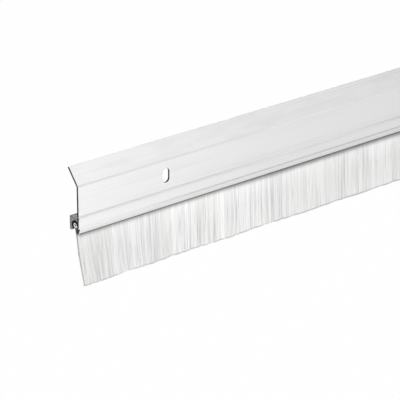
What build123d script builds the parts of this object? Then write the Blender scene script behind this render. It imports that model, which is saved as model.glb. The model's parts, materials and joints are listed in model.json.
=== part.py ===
from build123d import *

import math
import os

# A brush door sweep: an extruded aluminium carrier that is screwed to the face of a door,
# with a brush strip held in a slanted pocket along its lower edge.
# Millimetres. X runs along the sweep, +Y points into the door, +Z is up.
# The origin is at mid length on the door's face, half way up the flat back of the brush holder.

# Carrier, along its length
LENGTH = 914.4
SLOT_COUNT = 5
SLOT_END_MARGIN = 50.8
SLOT_WIDTH = 4.2
SLOT_HEIGHT = 7.2

# Carrier, in section
DEPTH = 6.4
PLATE_THICKNESS = 1.0
FACE_HEIGHT = 22.65
SLOT_DROP = 7.4
FLANGE_LEAN = 39.0
FLANGE_PRESET = 0.8
FLANGE_TIP_RADIUS = 0.3
BEND_RADIUS = 1.0
CREASE_RADIUS = 0.4
CREASE_DEPTH = 0.25
BEAD_RADIUS = 0.65
UPPER_BEAD_PROUD = 0.45
LOWER_BEAD_PROUD = 0.65
UPPER_BEAD_HEIGHT = 7.35
LOWER_BEAD_HEIGHT = 1.9
FACE_EDGE_SETBACK = 0.15

# Brush holder, behind the lower part of the face plate, tilted with the strip
HOLDER_TILT = 28.0
HOLDER_FLAT = 5.7
HOLDER_CORNER_RADIUS = 0.8
HOLDER_TOP_RADIUS = 0.3
FACE_DROP = 4.2
LIP_THICKNESS = 0.5
LEDGE_WIDTH = 0.6
POCKET_INSET = 0.55

# Brush strip: a folded steel channel with the bristles bent round a core wire in it
STRIP_WIDTH = 3.6
STRIP_WALL = 0.6
STRIP_LEG = 0.8
STRIP_CLEARANCE = 0.35
WIRE_DIAMETER = 0.8
FOLD_CLEARANCE = 0.02

# Bristles
BRISTLE_DROP = 26.55
BRISTLE_LEAN = 1.5
BRISTLE_ROOT_THICKNESS = 1.3
BRISTLE_TIP_THICKNESS = 2.4
BRISTLE_CLEARANCE = 0.07
BRISTLE_END_LEAN = 3.4
RIDGE_PITCH = 2.6
RIDGE_DEPTH = 0.7
RIDGE_SCATTER = 0.5
RIDGE_LEAST_SHARE = 0.6
TIP_UNEVENNESS = 0.9
TIP_CREST_SHARE = 0.4

# Places that follow from the sizes, as Y and Z in section
plate_front = -DEPTH
plate_back = plate_front + PLATE_THICKNESS
face_bottom = -FACE_DROP
bend_height = face_bottom + FACE_HEIGHT
slot_middle = bend_height - SLOT_DROP
tip_height = face_bottom - BRISTLE_DROP
tilt = math.radians(HOLDER_TILT)
holder_top = HOLDER_FLAT / 2
holder_bottom = -HOLDER_FLAT / 2 - HOLDER_CORNER_RADIUS / math.tan(math.pi / 4 - tilt / 2)

# The strip's outer and inner radius, and the pocket's
strip_radius = STRIP_WIDTH / 2
fold_radius = strip_radius - STRIP_WALL
pocket_radius = strip_radius + STRIP_CLEARANCE

# The centre of the core wire: the pocket's front corner is let into the face plate's back,
# and its ledge stands one lip thickness above the holder's sloping underside
wire_y = plate_back - POCKET_INSET + pocket_radius * math.cos(tilt) + STRIP_LEG * math.sin(tilt)
wire_z = holder_bottom + (STRIP_LEG + LIP_THICKNESS - wire_y * math.sin(tilt)) / math.cos(tilt)
strip_place = Pos(wire_y, wire_z) * Rot(0, 0, -HOLDER_TILT)


def strip_point(across, up):
    """A point given in the tilted strip's own directions, as Y and Z."""
    y = wire_y + across * math.cos(tilt) + up * math.sin(tilt)
    z = wire_z - across * math.sin(tilt) + up * math.cos(tilt)
    return (y, z)


def run_along(section):
    """Extrudes a section drawn in Y and Z over the sweep's whole length."""
    return extrude(Plane.YZ * section, LENGTH / 2, both=True)


def corner(section, point):
    """The section's vertex that lies nearest to a point."""
    return section.vertices().sort_by_distance(Vector(*point))[0]


def outline(*points):
    """A flat face with straight sides through the points."""
    return Polygon(*points, align=None)


def round_topped(radius, leg):
    """A half-round top on straight sides that go down by one leg from its centre."""
    sides = Pos(0, -leg / 2) * Rectangle(2 * radius, leg)
    whole = Pos(0, (radius - leg) / 2) * Rectangle(2 * radius, radius + leg)
    return (Circle(radius) + sides) & whole


def face_plate_section():
    """The face plate with its sprung flange, which reaches a little past the door's face, and its beads."""
    lean = math.radians(FLANGE_LEAN)
    flange_reach = DEPTH + FLANGE_PRESET - PLATE_THICKNESS * math.cos(lean)
    flange_length = flange_reach / math.sin(lean)
    bend = (plate_front, bend_height)
    tip_front = (
        plate_front + flange_length * math.sin(lean),
        bend_height + flange_length * math.cos(lean),
    )
    tip_back = (
        tip_front[0] + PLATE_THICKNESS * math.cos(lean),
        tip_front[1] - PLATE_THICKNESS * math.sin(lean),
    )
    inner_bend = (plate_back, bend_height - PLATE_THICKNESS * math.tan(lean / 2))
    lower_bead = face_bottom + LOWER_BEAD_HEIGHT
    plate = outline(
        (plate_back, face_bottom),
        (plate_front + FACE_EDGE_SETBACK, face_bottom),
        (plate_front - LOWER_BEAD_PROUD, lower_bead),
        (plate_front, lower_bead),
        bend,
        tip_front,
        tip_back,
        inner_bend,
    )
    plate = fillet(corner(plate, bend), BEND_RADIUS)
    plate = fillet(corner(plate, tip_front), FLANGE_TIP_RADIUS)
    crease_out = CREASE_RADIUS - CREASE_DEPTH
    bend_crease = (plate_front - crease_out * math.cos(lean / 2), bend_height + crease_out * math.sin(lean / 2))
    plate -= Pos(*bend_crease) * Circle(CREASE_RADIUS)
    beads = ((UPPER_BEAD_HEIGHT, UPPER_BEAD_PROUD), (LOWER_BEAD_HEIGHT, LOWER_BEAD_PROUD))
    for bead_height, proud in beads:
        bead_set_in = BEAD_RADIUS - proud
        bead_top = face_bottom + bead_height + math.sqrt(BEAD_RADIUS**2 - bead_set_in**2)
        plate += Pos(plate_front + bead_set_in, face_bottom + bead_height) * Circle(BEAD_RADIUS)
        plate -= Pos(plate_front - crease_out, bead_top) * Circle(CREASE_RADIUS)
    return plate


def pocket_section():
    """The round-topped pocket that the strip slides into."""
    return strip_place * round_topped(pocket_radius, STRIP_LEG)


def mouth_section():
    """The way out for the bristles, from the back ledge to the face plate and down."""
    reach = FACE_HEIGHT
    ledge = pocket_radius - LEDGE_WIDTH
    top = -STRIP_LEG
    way_out = outline((ledge, top), (-reach, top), (-reach, top - reach), (ledge, top - reach))
    return strip_place * way_out


def holder_section():
    """The block behind the face plate, with a flat back for the door and a lip under the pocket."""
    rise = -plate_back * math.tan(tilt)
    bottom_back = (0, holder_bottom)
    top_back = (0, holder_top)
    block = outline(
        bottom_back, top_back, (plate_back, holder_top + rise), (plate_back, holder_bottom + rise)
    )
    block = fillet(corner(block, bottom_back), HOLDER_CORNER_RADIUS)
    block = fillet(corner(block, top_back), HOLDER_TOP_RADIUS)
    return block - mouth_section()


def make_carrier():
    """The extrusion, with a row of upright screw slots through its face plate."""
    body = run_along(face_plate_section() + holder_section() - pocket_section())
    pitch = (LENGTH - 2 * SLOT_END_MARGIN) / (SLOT_COUNT - 1)
    slot = extrude(Plane.XZ * SlotOverall(SLOT_HEIGHT, SLOT_WIDTH, rotation=90), DEPTH, both=True)
    for index in range(SLOT_COUNT):
        slot_x = SLOT_END_MARGIN - LENGTH / 2 + index * pitch
        body -= Pos(slot_x, plate_front, slot_middle) * slot
    return body


def make_strip_channel():
    """The folded channel: a round back and two legs that stand on the pocket's ledges."""
    folded = round_topped(strip_radius, STRIP_LEG) - round_topped(fold_radius, STRIP_LEG)
    return run_along(strip_place * folded)


def make_core_wire():
    """The wire that the bristles are folded over."""
    return run_along(strip_place * Circle(WIRE_DIAMETER / 2))


# Bristle curtain: its front and back at the carrier's lower edge and at the tips
root_front = plate_back + BRISTLE_CLEARANCE
root_back = root_front + BRISTLE_ROOT_THICKNESS
tip_middle = (root_front + root_back) / 2 - BRISTLE_DROP * math.tan(math.radians(BRISTLE_LEAN))
tip_front = tip_middle - BRISTLE_TIP_THICKNESS / 2
tip_back = tip_middle + BRISTLE_TIP_THICKNESS / 2


# Starting shares of the irregular rows: hollows, crest tips, hollow tips, front and back depths
PLACE_START, CREST_START, HOLLOW_START, FRONT_START, BACK_START = 0.2, 0.6, 0.1, 0.4, 0.8


def scatter(index, start):
    """An even but irregular share from 0 to 1 for each index."""
    golden_share = (math.sqrt(5) - 1) / 2
    return (start + index * golden_share) % 1


def ridge_valleys():
    """Uneven places along X of the hollows between neighbouring ridges."""
    run = LENGTH - 2 * BRISTLE_END_LEAN
    count = int(run / RIDGE_PITCH)
    step = run / count
    first = -run / 2 + step / 2
    return [first + step * (i + RIDGE_SCATTER * (scatter(i, PLACE_START) - 0.5)) for i in range(count)]


def bristle_section():
    """The bristles in section: folded over the wire, out past the lip, then spreading to the tips."""
    fold = fold_radius - FOLD_CLEARANCE
    mouth_front = max(-fold, POCKET_INSET / math.cos(tilt) - pocket_radius + BRISTLE_CLEARANCE)
    mouth_back = min(fold, pocket_radius - LEDGE_WIDTH - BRISTLE_CLEARANCE)
    bundle = outline(
        strip_point(-fold, 0),
        strip_point(-fold, -STRIP_LEG / 2),
        strip_point(mouth_front, -STRIP_LEG),
        (root_front, face_bottom),
        (tip_front, tip_height),
        (tip_back, tip_height),
        (root_back, face_bottom),
        strip_point(mouth_back, -STRIP_LEG - LIP_THICKNESS),
        strip_point(mouth_back, -STRIP_LEG),
        strip_point(fold, -STRIP_LEG / 2),
        strip_point(fold, 0),
    )
    wire_hole = Circle(WIRE_DIAMETER / 2 + FOLD_CLEARANCE)
    return bundle + strip_place * Circle(fold) - strip_place * wire_hole


def bristle_front_view(valleys):
    """The bristles seen from the front, with uneven tips and ends that lean inwards."""
    top = wire_z + strip_radius
    half = LENGTH / 2
    crest_rise = TIP_UNEVENNESS * TIP_CREST_SHARE
    valley_rise = TIP_UNEVENNESS - crest_rise
    tips = []
    for i, valley in enumerate(valleys):
        if i > 0:
            crest = (valleys[i - 1] + valley) / 2
            tips.append((crest, tip_height + crest_rise * scatter(i, CREST_START)))
        tips.append((valley, tip_height + crest_rise + valley_rise * scatter(i, HOLLOW_START)))
    return outline(
        (half, face_bottom),
        (half, top),
        (-half, top),
        (-half, face_bottom),
        (-half + BRISTLE_END_LEAN, tip_height),
        *tips,
        (half - BRISTLE_END_LEAN, tip_height),
    )


def ridge_cutter(valleys, surface, towards, start):
    """A comb of upright wedges that cuts the hollows between ridges into one side of the curtain."""
    half_width = RIDGE_PITCH * (1 - RIDGE_SCATTER) / 2
    outer = surface + towards * RIDGE_PITCH
    teeth = []
    for i, valley in enumerate(valleys):
        depth = RIDGE_DEPTH * (RIDGE_LEAST_SHARE + (1 - RIDGE_LEAST_SHARE) * scatter(i, start))
        teeth.append((valley - half_width, surface))
        teeth.append((valley, surface - towards * depth))
        teeth.append((valley + half_width, surface))
    comb = outline((-LENGTH, outer), (-LENGTH, surface), *teeth, (LENGTH, surface), (LENGTH, outer))
    top = Plane((0, 0, face_bottom))
    return extrude(top * comb, -2 * BRISTLE_DROP)


def make_bristles():
    """The curtain of bristles, with ridges that deepen towards the uneven tips."""
    valleys = ridge_valleys()
    view = Plane.XZ * bristle_front_view(valleys)
    curtain = run_along(bristle_section()) & extrude(view, 4 * DEPTH, both=True)
    front = ridge_cutter(valleys, tip_front, -1, FRONT_START)
    back = ridge_cutter(valleys, tip_back, 1, BACK_START)
    return curtain - front - back


os.makedirs("parts", exist_ok=True)
export_step(make_carrier(), "parts/carrier.step")
export_step(make_strip_channel(), "parts/strip_channel.step")
export_step(make_core_wire(), "parts/core_wire.step")
export_step(make_bristles(), "parts/bristles.step")
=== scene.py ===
import json
import math

import bpy
import numpy as np
from mathutils import Euler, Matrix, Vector


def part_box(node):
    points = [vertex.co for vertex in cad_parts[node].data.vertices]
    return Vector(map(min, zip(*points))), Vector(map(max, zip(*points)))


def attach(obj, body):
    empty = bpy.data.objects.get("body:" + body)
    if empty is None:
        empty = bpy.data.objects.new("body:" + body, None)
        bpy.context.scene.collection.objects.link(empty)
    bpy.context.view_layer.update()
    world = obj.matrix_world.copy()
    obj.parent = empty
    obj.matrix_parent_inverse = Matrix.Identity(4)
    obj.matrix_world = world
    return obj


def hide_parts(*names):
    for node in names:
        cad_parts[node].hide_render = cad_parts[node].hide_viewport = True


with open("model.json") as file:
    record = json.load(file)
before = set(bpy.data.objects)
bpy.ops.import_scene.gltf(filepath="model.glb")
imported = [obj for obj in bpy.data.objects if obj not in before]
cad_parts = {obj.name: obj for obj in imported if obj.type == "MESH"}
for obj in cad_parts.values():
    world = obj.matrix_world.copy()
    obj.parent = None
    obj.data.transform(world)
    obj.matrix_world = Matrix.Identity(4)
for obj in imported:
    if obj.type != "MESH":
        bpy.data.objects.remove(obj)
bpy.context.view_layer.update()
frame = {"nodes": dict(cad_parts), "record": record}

bl_info = {
    "name": "Brush door sweep",
    "version": (1, 0, 0),
    "blender": (4, 5, 0),
    "location": "3D View > Sidebar > Sweep",
    "description": "Dresses a brush door sweep with paint, cut metal and bristles, and sets its stage",
    "category": "Object",
}

# The CAD model's box, and places read from its pieces, in metres
MM = 0.001
CARRIER_LOW, CARRIER_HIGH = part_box("carrier")
BRUSH_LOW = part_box("bristles")[0]
WIRE_LOW, WIRE_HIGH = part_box("core_wire")
WIRE_CENTRE = (WIRE_LOW + WIRE_HIGH) / 2
WIRE_RADIUS = (WIRE_HIGH.z - WIRE_LOW.z) / 2
HALF_LENGTH = CARRIER_HIGH.x
FACE_BOTTOM = CARRIER_LOW.z
TIP_HEIGHT = BRUSH_LOW.z
SLOT_MOUNTS = [mount for mount in frame["record"]["mounts"] if mount["kind"] == "bolt_pattern"]
SLOT_PLACES = sorted((Vector(mount["pos_m"]) for mount in SLOT_MOUNTS), key=lambda place: place.x)
SLOT_SIZES = SLOT_MOUNTS[0]["dims"]
SLOT_HALF_WIDTH = SLOT_SIZES["hole_r_mm"] * MM
SLOT_HALF_HEIGHT = SLOT_SIZES["slot_length_mm"] * MM / 2
SLOT_PITCH = SLOT_PLACES[1].x - SLOT_PLACES[0].x

# The carrier's section, where its box doesn't give it
HALF_PLATE = 0.5 * MM
PLATE_BACK = SLOT_PLACES[0].y + HALF_PLATE
BEND_CREASE = FACE_BOTTOM + 22.65 * MM
UPPER_CREASE = FACE_BOTTOM + 7.97 * MM
LOWER_CREASE = FACE_BOTTOM + 2.55 * MM
FLANGE_SLOPE = math.tan(math.radians(39.0))
FLANGE_LINE = CARRIER_HIGH.z - 1.5 * MM

# The brush holder's section: its sawn end's top and bottom are measured square to the strip
HOLDER_TOP = 6.2 * MM
POCKET_REACH = 2.4 * MM
STRIP_TILT = math.radians(28.0)
BLOCK_TOP = 2.51 * MM
BLOCK_BOTTOM = -3.7 * MM


class Tap:
    """An output socket of a material. Arithmetic on taps adds Math nodes to the material."""

    def __init__(self, tree, socket=None):
        self.tree = tree
        self.socket = socket

    def add(self, kind, settings=None, inputs=None, output=0):
        """Adds a node: first its settings, then the values or links of its sockets."""
        node = self.tree.nodes.new(kind)
        for name, value in (settings or {}).items():
            setattr(node, name, value)
        for name, value in (inputs or {}).items():
            if isinstance(value, Tap):
                self.tree.links.new(value.socket, node.inputs[name])
            else:
                node.inputs[name].default_value = value
        return Tap(self.tree, node.outputs[output] if node.outputs else None)

    def maths(self, operation, *values):
        return self.add("ShaderNodeMath", {"operation": operation}, dict(enumerate(values)))

    def __add__(self, other):
        return self.maths("ADD", self, other)

    def __radd__(self, other):
        return self.maths("ADD", other, self)

    def __sub__(self, other):
        return self.maths("SUBTRACT", self, other)

    def __rsub__(self, other):
        return self.maths("SUBTRACT", other, self)

    def __mul__(self, other):
        return self.maths("MULTIPLY", self, other)

    def __rmul__(self, other):
        return self.maths("MULTIPLY", other, self)

    def __pow__(self, other):
        return self.maths("POWER", self, other)

    def __rpow__(self, other):
        return self.maths("POWER", other, self)

    def __abs__(self):
        return self.maths("ABSOLUTE", self)

    def at_least(self, other):
        return self.maths("MAXIMUM", self, other)

    def fade(self, low, high):
        """0 below low, 1 above high, with a smooth step between."""
        settings = {"interpolation_type": "SMOOTHSTEP"}
        return self.add("ShaderNodeMapRange", settings, {"Value": self, "From Min": low, "From Max": high})

    def blend(self, first, second):
        """A colour that goes from the first to the second as this value goes from 0 to 1."""
        inputs = {0: self, 6: first, 7: second}
        return self.add("ShaderNodeMix", {"data_type": "RGBA"}, inputs, output=2)

    def axis(self, name):
        """One coordinate of this place."""
        return self.add("ShaderNodeSeparateXYZ", None, {0: self}, output=name)

    def noise(self, scale, detail=2.0):
        """A noise value at this place, with a scale for each axis."""
        stretched = self.add("ShaderNodeMapping", None, {"Vector": self, "Scale": scale})
        return self.add("ShaderNodeTexNoise", None, {"Vector": stretched, "Scale": 1.0, "Detail": detail})


def new_material(name):
    """An empty material, as a tap to build on and the material itself."""
    material = bpy.data.materials.new(name)
    material.use_nodes = True
    material.node_tree.nodes.clear()
    return Tap(material.node_tree), material


def object_place(tap):
    """The place on the object."""
    return tap.add("ShaderNodeTexCoord", output="Object")


def near_ends(x, far, close):
    """0 where the sweep's ends are further than far, 1 where one is closer than close."""
    return abs(x).fade(HALF_LENGTH - far, HALF_LENGTH - close)


def close_material(tap, inputs):
    """The finished surface, from the values and links of a Principled shader."""
    shader = tap.add("ShaderNodeBsdfPrincipled", None, inputs)
    tap.add("ShaderNodeOutputMaterial", None, {"Surface": shader})


def rgba(colour, share=1.0):
    """A colour with its alpha, darkened to a share of itself."""
    return (*(Vector(colour) * share), 1.0)


def colour_property(name, description, default):
    """A colour that a user can change."""
    return bpy.props.FloatVectorProperty(
        name=name, description=description, default=default, subtype="COLOR", size=3, min=0, max=1)


def share_property(name, description, default):
    """A value from 0 to 1 that a user can change."""
    return bpy.props.FloatProperty(
        name=name, description=description, default=default, subtype="FACTOR", min=0, max=1)


class SweepMetal(bpy.types.PropertyGroup):
    """Finish of the carrier, the channel and the wire."""

    paint: colour_property("Paint", "Colour of the carrier's paint", (0.784, 0.784, 0.784))
    paint_tint: colour_property("Paint tint", "Colour of the paint's duller patches", (0.70, 0.702, 0.703))
    paint_roughness: share_property("Paint roughness", "Roughness of the paint", 0.38)
    # The paint's colour in its painted shade lines, along the bend, above each bead and just below the
    # flange's tip
    shade: colour_property("Shade", "Colour of the paint where dust lies in the creases", (0.48, 0.48, 0.48))
    cut_metal: colour_property(
        "Cut metal", "Colour of the bare aluminium at the holder's sawn ends", (0.37, 0.37, 0.365))
    # The cut edge colour is near black: bare metal painted as shade, at the plate's sawn edges, in the slots
    # and inside the pocket
    cut_edge: colour_property(
        "Cut edge", "Colour of the bare aluminium at the sawn plate and in the slots", (0.045, 0.045, 0.044))
    channel: colour_property("Channel", "Colour of the folded steel channel", (0.01, 0.01, 0.011))
    channel_roughness: share_property("Channel roughness", "Least roughness of the channel", 0.35)
    wire: colour_property("Wire", "Colour of the core wire", (0.05, 0.05, 0.052))
    wire_roughness: share_property("Wire roughness", "Least roughness of the core wire", 0.3)


class SweepBrush(bpy.types.PropertyGroup):
    """Sizes and colours of the bristles."""

    count: bpy.props.IntProperty(
        name="Bristles", description="Folded bristles along the strip", min=1000, max=15000, default=12400)
    end_count: bpy.props.IntProperty(
        name="End bristles", description="Bristles packed close at each cut end", min=0, max=400, default=60)
    sections: bpy.props.IntProperty(
        name="Sections", description="Pieces that the bristles are divided into", min=1, max=12, default=5)
    diameter: bpy.props.FloatProperty(
        name="Diameter", description="Diameter of one bristle", unit="LENGTH", default=0.25 * MM)
    seed: bpy.props.IntProperty(name="Seed", description="Start of the random draws", default=7)
    pale: colour_property("Pale", "Colour of the palest bristles", (0.98, 0.98, 0.98))
    pale_warm: colour_property("Warm pale", "Colour of the palest warm bristles", (0.98, 0.978, 0.97))
    grey: colour_property("Grey", "Colour of the greyest bristles", (0.73, 0.733, 0.735))
    grey_warm: colour_property("Warm grey", "Colour of the greyest warm bristles", (0.73, 0.724, 0.709))
    # Painted shade: the bristles' colour in the dark under the plate
    root: colour_property("Root", "Colour of the bristles in the dark under the plate", (0.04, 0.04, 0.04))
    # Painted shade on the back legs of the outermost bristles at each end
    end_shade: colour_property("Rim", "Colour that dulls the outermost bristles", (0.3, 0.3, 0.3))
    # Painted shade: the colour of the cut tips
    tip: colour_property("Tip", "Colour of the cut tips", (0.4, 0.4, 0.39))


class SweepStage(bpy.types.PropertyGroup):
    """Camera, lamps and floor."""

    azimuth: bpy.props.FloatProperty(
        name="Azimuth", description="Turn of the camera about the vertical", unit="ROTATION",
        default=math.radians(-40.7))
    elevation: bpy.props.FloatProperty(
        name="Elevation", description="Angle at which the camera looks down", unit="ROTATION",
        default=math.radians(22.0))
    floor_drop: bpy.props.FloatProperty(
        name="Floor drop", description="Height of the tips above the floor", unit="LENGTH", default=0.32)
    key_power: bpy.props.FloatProperty(
        name="Key lamp", description="Power of the lamp in front of the near end", unit="POWER", default=1.34)
    front_power: bpy.props.FloatProperty(
        name="Front strip", description="Power of the long lamp in front", unit="POWER", default=4.7)
    back_power: bpy.props.FloatProperty(
        name="Back strip", description="Power of the long lamp behind", unit="POWER", default=7.0)
    ambient: share_property("Ambient", "Strength of the even light all round", 0.36)


# Noise on the metal: turns per metre along X, Y and Z
STREAK_SCALE = (7.0, 700.0, 700.0)
PATCH_SCALE = (14.0, 120.0, 120.0)
MOTTLE_SCALE = (60.0, 250.0, 250.0)
PEEL_SCALE = (1500.0, 1500.0, 1500.0)
SAW_SCALE = (900.0, 700.0, 2400.0)
LINE_SHADE_SCALE = (5.0, 0.0, 0.0)
DRAWN_SCALE = (60.0, 3000.0, 3000.0)
FINE_DETAIL = 3.0
PLAIN_DETAIL = 1.0

# The span of noise values over which each finish comes in, and how strongly it then shows
STREAK_SPAN, STREAK_SHARE = (0.5, 0.75), 0.45
PATCH_SPAN, PATCH_SHARE = (0.45, 0.75), 0.4
MOTTLE_SPAN, MOTTLE_SHARE = (0.42, 0.62), 0.35
SAW_SPAN = (0.35, 0.65)
LINE_SHADE_SPAN = (0.3, 0.6)
DRAWN_SPAN = (0.3, 0.7)
BLOCK_DARK, EDGE_DARK, DRAWN_DARK = 0.45, 0.6, 0.6

# Places where one finish of the carrier gives way to the next
SHARP = 0.02 * MM
SAWN_DEPTH = (0.06 * MM, 0.03 * MM)
FRONT_DEPTH = (PLATE_BACK - 0.4 * MM, PLATE_BACK - 0.3 * MM)
HOLDER_DEPTH = (PLATE_BACK - 0.1 * MM, PLATE_BACK + 0.2 * MM)
HOLDER_HEIGHT = (HOLDER_TOP, HOLDER_TOP + 0.5 * MM)
FLANGE_HEIGHT = (BEND_CREASE - 0.5 * MM, BEND_CREASE + 0.5 * MM)
# Painted shade along the outline of the holder's sawn end: its width, its darkest core and its strength
RIM_SHADE_WIDTH, RIM_SHADE_CORE, RIM_SHADE_SHARE = 0.5 * MM, 0.15 * MM, 0.85

# Painted shade along the bend, above each bead and just below the flange's tip: half widths of its lines,
# distances from the ends, and strengths
SHADE_CORE = 0.1 * MM
BEND_SHADE, UPPER_SHADE, LOWER_SHADE, FLANGE_SHADE = 0.75 * MM, 0.7 * MM, 0.6 * MM, 0.4 * MM
SHADED_ENDS = (150.0 * MM, 95.0 * MM)
FAINT_ENDS, FAINT_SHARE = (75.0 * MM, 20.0 * MM), 0.7
BEND_EVEN, BEND_NEAR = 0.05, 0.5
UPPER_EVEN, UPPER_NEAR, UPPER_INWARDS = 0.4, 0.3, 0.1
LOWER_INWARDS = 0.7
FLANGE_INWARDS = 0.15

# Relief and gloss of the metal
RELIEF = 0.02 * MM
PAINT_RELIEF, STEEL_RELIEF = 0.12, 0.1
PEEL_HEIGHT, STREAK_HEIGHT = 0.5, 0.5
STREAK_DULLS, CUT_DULLS, DRAWN_DULLS = 0.15, 0.1, 0.2


def slot_distance(x, z):
    """Distance from the spine of the nearest screw slot, on the face plate."""
    shifted = x - (SLOT_PLACES[0].x - SLOT_PITCH / 2)
    across = shifted.maths("FLOORED_MODULO", shifted, SLOT_PITCH) - SLOT_PITCH / 2
    spine = SLOT_HALF_HEIGHT - SLOT_HALF_WIDTH
    along = (abs(z - SLOT_PLACES[0].z) - spine).at_least(0.0)
    return (across * across + along * along) ** 0.5


def shade_line(z, height, half_width):
    """1 along a level line, fading to 0 at its half width above and below."""
    return 1 - abs(z - height).fade(SHADE_CORE, half_width)


def shade_lines(place, x, y, z):
    """How much painted shade darkens the front: along the bend, above each bead and just below the flange's
    tip.
    """
    depth = y - (z - BEND_CREASE).at_least(0.0) * FLANGE_SLOPE
    front = 1 - depth.fade(*FRONT_DEPTH)
    near = near_ends(x, *SHADED_ENDS)
    by_turns = place.noise(LINE_SHADE_SCALE, PLAIN_DETAIL).fade(*LINE_SHADE_SPAN)
    inwards = 1 - near_ends(x, *FAINT_ENDS) * FAINT_SHARE
    bend = shade_line(z, BEND_CREASE, BEND_SHADE) * by_turns * (near * BEND_NEAR + BEND_EVEN)
    upper_strength = inwards * UPPER_INWARDS + near * UPPER_NEAR + UPPER_EVEN
    upper = shade_line(z, UPPER_CREASE, UPPER_SHADE) * by_turns * upper_strength
    lower = shade_line(z, LOWER_CREASE, LOWER_SHADE) * inwards * LOWER_INWARDS
    flange = shade_line(z, FLANGE_LINE, FLANGE_SHADE) * (1 - near) * FLANGE_INWARDS
    return (bend + upper + lower + flange) * front


def block_rim_shade(y, z):
    """1 along the outline of the brush holder's sawn end, where painted shade makes it darker than its
    middle.
    """
    up = y * math.sin(STRIP_TILT) + z * math.cos(STRIP_TILT)
    top = up.fade(BLOCK_TOP - RIM_SHADE_WIDTH, BLOCK_TOP - RIM_SHADE_CORE)
    bottom = 1 - up.fade(BLOCK_BOTTOM + RIM_SHADE_CORE, BLOCK_BOTTOM + RIM_SHADE_WIDTH)
    back = y.fade(-RIM_SHADE_WIDTH, -RIM_SHADE_CORE)
    return top.at_least(bottom).at_least(back)


def paint_material(metal):
    """White paint with faint drawn streaks and painted shade along its lines, and bare metal where it was
    sawn or punched, near black as painted shade at the cut edges, in the slots and in the pocket.
    """
    tap, material = new_material("white_paint")
    place = object_place(tap)
    x, y, z = (place.axis(name) for name in "XYZ")
    streak = place.noise(STREAK_SCALE, FINE_DETAIL)
    patch = place.noise(PATCH_SCALE)
    mottle = place.noise(MOTTLE_SCALE, FINE_DETAIL)
    peel = place.noise(PEEL_SCALE)
    saw = place.noise(SAW_SCALE, FINE_DETAIL)

    # Where the metal is bare, and where that is the end of the brush holder; inside the pocket the bare metal
    # is put where there is shade, near black as painted shade
    at_end = near_ends(x, *SAWN_DEPTH)
    in_slot = 1 - slot_distance(x, z).fade(SLOT_HALF_WIDTH + SHARP, SLOT_HALF_WIDTH + 2 * SHARP)
    from_wire = ((y - WIRE_CENTRE.y) ** 2 + (z - WIRE_CENTRE.z) ** 2) ** 0.5
    in_pocket = 1 - from_wire.fade(POCKET_REACH, POCKET_REACH + SHARP)
    bare = at_end.at_least(in_slot).at_least(in_pocket)
    holder = y.fade(*HOLDER_DEPTH) * (1 - z.fade(*HOLDER_HEIGHT)) * (1 - in_pocket)

    # Paint, dulled in patches, on the flange in a mottle and in streaks, and darkened by painted shade along
    # its lines
    on_flange = z.fade(*FLANGE_HEIGHT)
    dulled = patch.fade(*PATCH_SPAN) * PATCH_SHARE + mottle.fade(*MOTTLE_SPAN) * on_flange * MOTTLE_SHARE
    tinted = dulled.blend(rgba(metal.paint), rgba(metal.paint_tint))
    streaked = (streak.fade(*STREAK_SPAN) * STREAK_SHARE).blend(tinted, rgba(metal.paint_tint))
    line_shaded = shade_lines(place, x, y, z).blend(streaked, rgba(metal.shade))

    # Bare metal with the marks of the saw: near black as painted shade at the plate's cut edges, in the slots
    # and in the pocket, and grey at the holder's sawn end with painted shade along its outline
    sawn = saw.fade(*SAW_SPAN)
    block_cut = sawn.blend(rgba(metal.cut_metal, BLOCK_DARK), rgba(metal.cut_metal))
    edge_cut = sawn.blend(rgba(metal.cut_edge, EDGE_DARK), rgba(metal.cut_edge))
    cut = (holder * (1 - block_rim_shade(y, z) * RIM_SHADE_SHARE)).blend(edge_cut, block_cut)

    height = peel * PEEL_HEIGHT + streak * STREAK_HEIGHT + bare * saw
    relief = {"Strength": PAINT_RELIEF, "Distance": RELIEF, "Height": height}
    close_material(tap, {
        "Base Color": bare.blend(line_shaded, cut),
        "Metallic": bare,
        "Roughness": metal.paint_roughness + (streak - 0.5) * STREAK_DULLS + bare * CUT_DULLS,
        "Normal": tap.add("ShaderNodeBump", None, relief),
    })
    return material


def steel_material(name, colour, roughness):
    """Dull drawn steel, with streaks along its length."""
    tap, material = new_material(name)
    drawn = object_place(tap).noise(DRAWN_SCALE, FINE_DETAIL)
    relief = {"Strength": STEEL_RELIEF, "Distance": RELIEF, "Height": drawn}
    close_material(tap, {
        "Base Color": drawn.fade(*DRAWN_SPAN).blend(rgba(colour, DRAWN_DARK), rgba(colour)),
        "Metallic": 1.0,
        "Roughness": roughness + drawn * DRAWN_DULLS,
        "Normal": tap.add("ShaderNodeBump", None, relief),
    })
    return material


class SWEEP_OT_paint_carrier(bpy.types.Operator):
    """Paint the carrier white, with bare metal at its cuts"""

    bl_idname = "sweep.paint_carrier"
    bl_label = "Paint carrier"

    def execute(self, context):
        material = paint_material(context.scene.sweep_metal)
        frame["nodes"]["carrier"].material_slots[0].material = material
        return {"FINISHED"}


class SWEEP_OT_finish_strip(bpy.types.Operator):
    """Give the folded channel and the core wire their steel"""

    bl_idname = "sweep.finish_strip"
    bl_label = "Finish strip"

    def execute(self, context):
        metal = context.scene.sweep_metal
        channel = steel_material("strip_steel", metal.channel, metal.channel_roughness)
        wire = steel_material("wire_steel", metal.wire, metal.wire_roughness)
        frame["nodes"]["strip_channel"].material_slots[0].material = channel
        frame["nodes"]["core_wire"].material_slots[0].material = wire
        return {"FINISHED"}


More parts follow.
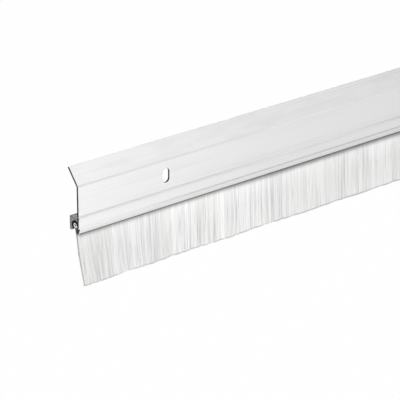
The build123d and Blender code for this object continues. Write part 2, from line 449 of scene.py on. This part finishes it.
# Where painted shade darkens the bristles: heights at the plate's edge, and distances from the sweep's ends
ROOT_HEIGHT = (FACE_BOTTOM - 4.0 * MM, FACE_BOTTOM + 0.1 * MM)
GAP_HEIGHT = (FACE_BOTTOM - 1.2 * MM, FACE_BOTTOM - 0.7 * MM)
FOLD_HEIGHT = (FACE_BOTTOM + 2.0 * MM, FACE_BOTTOM + 2.6 * MM)
LAST_BRISTLES = (2.0 * MM, 0.2 * MM)
LIGHT_ROOTS = (120.0 * MM, 70.0 * MM)
ROOT_SHARE, ROOT_NEAR, ROOT_LAST = 0.97, 0.7, 2.0
GAP_SHARE, GAP_LAST = 0.99, 0.5
END_SHADE_SHARE = 0.35
TIP_SPAN, TIP_SHARE, TIP_TONE = (0.968, 0.985), 0.5, 0.15
BRISTLE_ROUGHNESS, TONE_DULLS = 0.42, 0.12


def bristle_material(brush):
    """Fine plastic filament whose tone changes from bristle to bristle, with painted shade under the plate's
    edge, on the back of the end bristles and at the cut tips.
    """
    tap, material = new_material("white_bristle")
    names = ("tone", "warmth", "along", "edge")
    tone, warmth, along, edge = (
        tap.add("ShaderNodeAttribute", {"attribute_name": name}, output="Fac") for name in names)
    place = object_place(tap)
    x, z = (place.axis(name) for name in "XZ")
    pale = warmth.blend(rgba(brush.pale), rgba(brush.pale_warm))
    grey = warmth.blend(rgba(brush.grey), rgba(brush.grey_warm))
    at_end = near_ends(x, *LAST_BRISTLES)
    # Painted shade at the roots under the plate's edge, thinner near the ends, and a painted shadow in the
    # narrow space just under that edge; the fold takes the palest colour and none of this shade
    shade_thinning = 1 + near_ends(x, *LIGHT_ROOTS) * ROOT_NEAR + at_end * ROOT_LAST
    root_shade = (z.fade(*ROOT_HEIGHT) * ROOT_SHARE) ** shade_thinning
    gap_shade = z.fade(*GAP_HEIGHT) * (GAP_SHARE - at_end * GAP_LAST)
    folded = z.fade(*FOLD_HEIGHT)
    body = tone.at_least(folded).blend(grey, pale)
    shaded = (root_shade.at_least(gap_shade) - folded).blend(body, rgba(brush.root))
    # Painted shade on the back legs of the outermost bristles at each end
    end_shaded = (edge * (1 - folded) * END_SHADE_SHARE).blend(shaded, rgba(brush.end_shade))
    # Painted shade at the cut tips, stronger on paler bristles
    tip_shade = along.fade(*TIP_SPAN) * (TIP_SHARE + tone * TIP_TONE)
    close_material(tap, {
        "Base Color": tip_shade.blend(end_shaded, rgba(brush.tip)),
        "Roughness": BRISTLE_ROUGHNESS + tone * TONE_DULLS,
    })
    return material


# The path of one folded bristle: a leg up, the fold over the wire and a leg down
SIDES = 3
LEG_POINTS = 3
FOLD_ANGLES = tuple(math.radians(angle) for angle in (-90, -45, 0, 45, 90))
RINGS = 2 * (LEG_POINTS + 1) + len(FOLD_ANGLES)
FOLD_SPREAD = 0.55 * MM
LEAST_SPREAD = 0.1
LIP_HEIGHT = -2.27 * MM
LIP_FRONT, LIP_BACK = PLATE_BACK + 0.75 * MM, PLATE_BACK + 1.7 * MM
ROOT_FRONT, ROOT_BACK = PLATE_BACK + 0.18 * MM, PLATE_BACK + 1.26 * MM
TIP_FRONT, TIP_BACK = BRUSH_LOW.y + 0.3 * MM, BRUSH_LOW.y + 2.3 * MM
MIDDLE_SHARES = (0.35, 0.65)

# How the bristles crowd towards the outside of the brush, and turn about their own axes
GOLDEN_SHARE = (math.sqrt(5) - 1) / 2
LAYER_SCATTER = 0.2
OUTER_CROWD = 5.0
INNER_DEPTH = 0.52
DEPTH_SCATTER = 0.08
ROLL_SCATTER = 0.2

# How the bristles stray sideways, and how they lean inwards at the ends
TUFT_PITCH, TUFT_STRAY, TUFT_POWER = 1.4 * MM, 0.17 * MM, 1.5
WANDER = 0.1 * MM
CURL = 0.06 * MM
SWAY = 0.1 * MM
END_TUFT = 0.5 * MM
END_LEAN, END_LEAN_REACH, END_LEAN_FALL, END_LEAN_POWER = 3.3 * MM, 35.0 * MM, 1.5, 1.4
END_PINCH, PINCH_SHARE, PINCH_DEPTH = 4.0 * MM, 0.65, 0.15

# How unevenly the tips are cut
TIP_MARGIN = 0.02 * MM
TIP_SCATTER = 0.18 * MM
TRIM_MEAN = 0.3
LONG_TRIM_PITCH, LONG_TRIM = 13.0 * MM, 0.36
SHORT_TRIM_PITCH, SHORT_TRIM = 3.0 * MM, 0.3
END_FULL = 22.0 * MM

# How the tone and the warmth of the bristles change along the brush
TONE_MEAN, TONE_SCATTER = 0.82, 0.3
LONG_TONE_PITCH, LONG_TONE = 9.0 * MM, 0.24
SHORT_TONE_PITCH, SHORT_TONE = 0.9 * MM, 0.16
DULL_END, DULL_SHARE = 66.0 * MM, 0.8
WARMTH_MEAN, WARMTH_SCATTER = 0.3, 0.15
WARMTH_PITCH, WARMTH_CHANGE = 12.0 * MM, 0.6
# Reach from each end of the painted shade on the outermost back legs
END_SHADE_REACH = 0.7 * MM


def model_one_bristle(radius):
    """One straight bristle: a three-sided ring, extruded once for each step of its path."""
    bpy.ops.object.select_all(action="DESELECT")
    bpy.ops.mesh.primitive_circle_add(vertices=SIDES, radius=radius, fill_type="NGON")
    bristle = bpy.context.object
    bpy.ops.object.mode_set(mode="EDIT")
    bpy.ops.mesh.select_all(action="SELECT")
    for step in range(RINGS - 1):
        bpy.ops.mesh.extrude_region_move(TRANSFORM_OT_translate={"value": (0, 0, 1)})
    bpy.ops.mesh.select_all(action="SELECT")
    bpy.ops.mesh.normals_make_consistent(inside=False)
    bpy.ops.object.mode_set(mode="OBJECT")
    return bristle


def ripple(x, pitch, rng):
    """A random value from -1 to 1 that changes along X, with a given pitch."""
    knots = int(2 * HALF_LENGTH / pitch) + 3
    values = rng.uniform(-1, 1, knots)
    return np.interp(x, np.linspace(-HALF_LENGTH - pitch, HALF_LENGTH + pitch, knots), values)


def end_bell(x, reach):
    """1 at the sweep's ends, falling to 0 over a reach."""
    return np.exp(-(((HALF_LENGTH - np.abs(x)) / reach) ** 2))


def root_places(brush, radius, rng):
    """Places along X where bristles are rooted: even but irregular, and packed close at each end."""
    run = HALF_LENGTH - radius
    even = run * (2 * (np.arange(brush.count) + rng.uniform(0, 1, brush.count)) / brush.count - 1)
    ends = [side * (run - END_TUFT * rng.uniform(0, 1, brush.end_count)) for side in (-1, 1)]
    return np.sort(np.concatenate([even, *ends]))


def strip_point(across, up):
    """Y and Z of a point given in the tilted strip's own directions."""
    y = WIRE_CENTRE.y + across * math.cos(STRIP_TILT) + up * math.sin(STRIP_TILT)
    z = WIRE_CENTRE.z - across * math.sin(STRIP_TILT) + up * math.cos(STRIP_TILT)
    return y, z


def leg_points(x, depth, rng):
    """The points of each bristle's leg, from its tip up to the holder's lip."""
    count = len(x)
    end = HALF_LENGTH - np.abs(x)
    lean = -np.sign(x) * END_LEAN * np.exp(-((end / END_LEAN_REACH) ** END_LEAN_FALL))
    tuft = ripple(x, TUFT_PITCH, rng) * TUFT_STRAY
    wander = rng.normal(0, WANDER, count)
    curl = rng.normal(0, CURL, count)
    sway = rng.normal(0, SWAY, count)
    uneven = LONG_TRIM * ripple(x, LONG_TRIM_PITCH, rng) + SHORT_TRIM * ripple(x, SHORT_TRIM_PITCH, rng)
    trim = (TRIM_MEAN + uneven).clip(0) * (1 - end_bell(x, END_FULL)) * MM
    tip = TIP_HEIGHT + TIP_MARGIN + trim + np.abs(rng.normal(0, TIP_SCATTER, count))
    pinch = PINCH_SHARE * end_bell(x, END_PINCH)
    spread_depth = np.clip(depth + rng.normal(0, DEPTH_SCATTER, count), 0, 1)
    tip_depth = spread_depth * (1 - pinch) + PINCH_DEPTH * pinch
    root_y = ROOT_FRONT + (ROOT_BACK - ROOT_FRONT) * depth
    tip_y = TIP_FRONT + (TIP_BACK - TIP_FRONT) * tip_depth
    points = []
    for share in (np.ones(count), rng.uniform(*MIDDLE_SHARES, count), np.zeros(count)):
        bow = np.sin(math.pi * share)
        side = lean * share ** END_LEAN_POWER + tuft * share ** TUFT_POWER + wander * share + curl * bow
        y = root_y + (tip_y - root_y) * share + sway * bow
        z = FACE_BOTTOM + (tip - FACE_BOTTOM) * share
        points.append(np.stack([x + side, y, z], axis=1))
    lip_y = LIP_FRONT + (LIP_BACK - LIP_FRONT) * depth
    points.append(np.stack([x, lip_y, np.full(count, LIP_HEIGHT)], axis=1))
    return points


def bristle_paths(x, radius, rng):
    """All the points of each folded bristle, as an array of bristle, ring and coordinate."""
    count = len(x)
    layer = (np.arange(count) * GOLDEN_SHARE + rng.uniform(0, LAYER_SCATTER, count)) % 1
    inward = INNER_DEPTH * layer ** OUTER_CROWD
    front = leg_points(x, inward, rng)
    back = leg_points(x, 1 - inward, rng)
    fold = WIRE_RADIUS + radius + FOLD_SPREAD * rng.uniform(LEAST_SPREAD, 1.0, count)
    bend = []
    for angle in FOLD_ANGLES:
        y, z = strip_point(fold * math.sin(angle), fold * math.cos(angle))
        bend.append(np.stack([x, y, z], axis=1))
    return np.stack(front + bend + back[::-1], axis=1)


def ring_vertices(paths, template, roll):
    """The template's rings set along each path, across it and turned by each bristle's roll."""
    ahead = np.gradient(paths, axis=1)
    ahead /= np.linalg.norm(ahead, axis=2, keepdims=True)
    sideways = np.array([1.0, 0.0, 0.0])
    normal = np.cross(ahead, sideways)
    normal /= np.linalg.norm(normal, axis=2, keepdims=True)
    ring = np.rint(template[:, 2]).astype(int)
    angle = np.arctan2(template[:, 1], template[:, 0])[None, :] + roll[:, None]
    size = np.hypot(template[:, 0], template[:, 1])[None, :, None]
    out = np.cos(angle)[..., None] * sideways + np.sin(angle)[..., None] * normal[:, ring]
    return paths[:, ring] + out * size


def bristle_tones(x, rng):
    """How pale and how warm each bristle is, from 0 to 1."""
    count = len(x)
    long_tone = LONG_TONE * ripple(x, LONG_TONE_PITCH, rng)
    tone = TONE_MEAN + long_tone + SHORT_TONE * ripple(x, SHORT_TONE_PITCH, rng)
    tone -= DULL_SHARE * end_bell(x, DULL_END)
    tone = np.clip(tone + rng.normal(0, TONE_SCATTER, count), 0, 1)
    warmth = WARMTH_MEAN + WARMTH_CHANGE * ripple(x, WARMTH_PITCH, rng)
    return tone, np.clip(warmth + rng.normal(0, WARMTH_SCATTER, count), 0, 1)


def copy_mesh(name, bristle, places):
    """A mesh of many copies of one bristle, each at its own place."""
    faces = np.array([vertex for face in bristle.data.polygons for vertex in face.vertices])
    sizes = np.array([len(face.vertices) for face in bristle.data.polygons])
    copies, vertices = places.shape[:2]
    corners = (faces[None, :] + vertices * np.arange(copies)[:, None]).ravel()
    totals = np.tile(sizes, copies)
    starts = np.concatenate([[0], np.cumsum(totals)[:-1]])
    mesh = bpy.data.meshes.new(name)
    mesh.vertices.add(copies * vertices)
    mesh.vertices.foreach_set("co", places.astype(np.float32).ravel())
    mesh.loops.add(len(corners))
    mesh.loops.foreach_set("vertex_index", corners.astype(np.int32))
    mesh.polygons.add(len(totals))
    mesh.polygons.foreach_set("loop_start", starts.astype(np.int32))
    mesh.update(calc_edges=True)
    mesh.validate()
    mesh.shade_flat()
    return mesh


def store(mesh, name, values):
    """Keeps a value for each vertex, for the material to read."""
    attribute = mesh.attributes.new(name, "FLOAT", "POINT")
    attribute.data.foreach_set("value", values.astype(np.float32).ravel())


class SWEEP_OT_plant_bristles(bpy.types.Operator):
    """Fold thousands of bristles over the core wire, in place of the plain brush"""

    bl_idname = "sweep.plant_bristles"
    bl_label = "Plant bristles"

    def execute(self, context):
        brush = context.scene.sweep_brush
        radius = brush.diameter / 2
        rng = np.random.default_rng(brush.seed)
        bristle = model_one_bristle(radius)
        template = np.array([vertex.co for vertex in bristle.data.vertices])
        ring = np.rint(template[:, 2]).astype(int)
        x = root_places(brush, radius, rng)
        count = len(x)
        paths = bristle_paths(x, radius, rng)
        places = ring_vertices(paths, template, rng.normal(0, ROLL_SCATTER, count))
        tone, warmth = bristle_tones(x, rng)

        # How far down its leg each ring is, and which rings are on the back leg of an outermost bristle,
        # which gets a painted shade
        height = paths[:, :, 2]
        lowest = height[:, [0, -1]].min(axis=1)
        along = (FACE_BOTTOM - height) / (FACE_BOTTOM - lowest)[:, None]
        on_back = np.arange(RINGS) > RINGS // 2
        edge = end_bell(x, END_SHADE_REACH)[:, None] * on_back[None, :]

        material = bristle_material(brush)
        for section, chosen in enumerate(np.array_split(np.arange(count), brush.sections)):
            name = f"bristles_{section + 1}"
            mesh = copy_mesh(name, bristle, places[chosen])
            store(mesh, "tone", np.repeat(tone[chosen], len(template)))
            store(mesh, "warmth", np.repeat(warmth[chosen], len(template)))
            store(mesh, "along", along[chosen][:, ring])
            store(mesh, "edge", edge[chosen][:, ring])
            piece = bpy.data.objects.new(name, mesh)
            context.collection.objects.link(piece)
            mesh.materials.append(material)
            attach(piece, "root")
            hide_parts("bristles")
        bpy.data.objects.remove(bristle)
        return {"FINISHED"}


# The photograph's frame in pixels, where the first slot stands in it, and how far off that slot is
PHOTO_SIDE = 400.0
SLOT_PIXEL = (165.2, 174.97)
FOCAL_PIXELS = 2530.0
SLOT_DEPTH = 1.1549
SENSOR_WIDTH = 36.0
FAR_CLIP = 50.0

# Lamps: width and height, the place that each looks at, and where it stands from there
KEY_LAMP = {"sides": (0.2, 0.2), "target": (-HALF_LENGTH, 0.0, 0.0), "away": (-0.175, -0.36, 0.11)}
FRONT_LAMP = {"sides": (0.8, 0.4), "target": (0.35, 0.0, 0.0), "away": (0.0, -0.8, 0.216)}
BACK_LAMP = {"sides": (1.2, 0.4), "target": (0.0, 0.0, 0.0), "away": (0.0, 0.9, 0.24)}

# The floor's side, its grey under the lamps, and how far white takes its place to the eye
FLOOR_SIDE = 12.0
FLOOR_GREY = (0.4, 0.4, 0.4)
FLOOR_WHITE = 0.99
WHITE = (1.0, 1.0, 1.0)


def set_camera(context, stage):
    """A long lens at the photograph's angle, with the first slot where the photograph has it."""
    camera = bpy.data.cameras.new("camera")
    camera.sensor_width = SENSOR_WIDTH
    camera.lens = FOCAL_PIXELS / PHOTO_SIDE * SENSOR_WIDTH
    camera.clip_end = FAR_CLIP
    turn = Euler((math.pi / 2 - stage.elevation, 0, stage.azimuth)).to_matrix()
    across = (PHOTO_SIDE / 2 - SLOT_PIXEL[0]) / FOCAL_PIXELS * SLOT_DEPTH
    up = (SLOT_PIXEL[1] - PHOTO_SIDE / 2) / FOCAL_PIXELS * SLOT_DEPTH
    holder = bpy.data.objects.new("camera", camera)
    holder.matrix_world = turn.to_4x4()
    holder.location = SLOT_PLACES[0] + turn @ Vector((across, up, SLOT_DEPTH))
    context.collection.objects.link(holder)
    context.scene.camera = holder


def add_lamp(context, name, power, sides, target, away):
    """A soft lamp, so wide and so high, that looks at a target from a place some way from it."""
    lamp = bpy.data.lights.new(name, "AREA")
    lamp.energy = power
    lamp.shape = "RECTANGLE"
    lamp.size, lamp.size_y = sides
    holder = bpy.data.objects.new(name, lamp)
    holder.location = Vector(target) + Vector(away)
    holder.rotation_euler = (-Vector(away)).to_track_quat("-Z", "Y").to_euler()
    holder.visible_camera = False
    context.collection.objects.link(holder)


def seen_by_eye(tap):
    """1 on rays from the camera, from gloss and through glass, else 0."""
    names = ("Is Camera Ray", "Is Glossy Ray", "Is Transmission Ray")
    camera, gloss, glass = (tap.add("ShaderNodeLightPath", output=name) for name in names)
    return camera.at_least(gloss).at_least(glass)


def floor_material():
    """A white floor that keeps the object's shadow."""
    tap, material = new_material("white_floor")
    matte = tap.add("ShaderNodeBsdfDiffuse", None, {"Color": rgba(FLOOR_GREY)})
    white = tap.add("ShaderNodeEmission", None, {"Color": rgba(WHITE), "Strength": 1.0})
    mixed = tap.add("ShaderNodeMixShader", None, {0: seen_by_eye(tap) * FLOOR_WHITE, 1: matte, 2: white})
    tap.add("ShaderNodeOutputMaterial", None, {"Surface": mixed})
    return material


def set_world(context, ambient):
    """Even light all round, and white where the eye sees past the floor."""
    world = bpy.data.worlds.new("studio")
    world.use_nodes = True
    world.node_tree.nodes.clear()
    tap = Tap(world.node_tree)
    strength = seen_by_eye(tap) * (1.0 - ambient) + ambient
    air = tap.add("ShaderNodeBackground", None, {"Color": rgba(WHITE), "Strength": strength})
    tap.add("ShaderNodeOutputWorld", None, {"Surface": air})
    context.scene.world = world


class SWEEP_OT_set_stage(bpy.types.Operator):
    """Set the floor, the lamps, the white surroundings and the camera"""

    bl_idname = "sweep.set_stage"
    bl_label = "Set stage"

    def execute(self, context):
        stage = context.scene.sweep_stage
        bpy.ops.object.select_all(action="DESELECT")
        floor_height = TIP_HEIGHT - stage.floor_drop
        bpy.ops.mesh.primitive_plane_add(size=FLOOR_SIDE, location=(0, 0, floor_height))
        floor = context.object
        floor.name = "floor"
        floor.data.materials.append(floor_material())
        add_lamp(context, "key", stage.key_power, **KEY_LAMP)
        add_lamp(context, "front_strip", stage.front_power, **FRONT_LAMP)
        add_lamp(context, "back_strip", stage.back_power, **BACK_LAMP)
        set_world(context, stage.ambient)
        set_camera(context, stage)
        context.scene.view_settings.view_transform = "Standard"
        return {"FINISHED"}


class VIEW3D_PT_sweep(bpy.types.Panel):
    """Lists the steps that dress the sweep"""

    bl_label = "Brush door sweep"
    bl_space_type = "VIEW_3D"
    bl_region_type = "UI"
    bl_category = "Sweep"

    def draw(self, context):
        for step in STEPS:
            self.layout.operator(step.bl_idname)


STEPS = (SWEEP_OT_paint_carrier, SWEEP_OT_finish_strip, SWEEP_OT_plant_bristles, SWEEP_OT_set_stage)
GROUPS = {"sweep_metal": SweepMetal, "sweep_brush": SweepBrush, "sweep_stage": SweepStage}


def register():
    for shown in (*GROUPS.values(), *STEPS, VIEW3D_PT_sweep):
        bpy.utils.register_class(shown)
    for name, group in GROUPS.items():
        setattr(bpy.types.Scene, name, bpy.props.PointerProperty(type=group))


def unregister():
    for name in GROUPS:
        delattr(bpy.types.Scene, name)
    for shown in reversed((*GROUPS.values(), *STEPS, VIEW3D_PT_sweep)):
        bpy.utils.unregister_class(shown)


def main():
    register()
    bpy.ops.sweep.paint_carrier()
    bpy.ops.sweep.finish_strip()
    bpy.ops.sweep.plant_bristles()
    bpy.ops.sweep.set_stage()


if __name__ == "__main__":
    main()
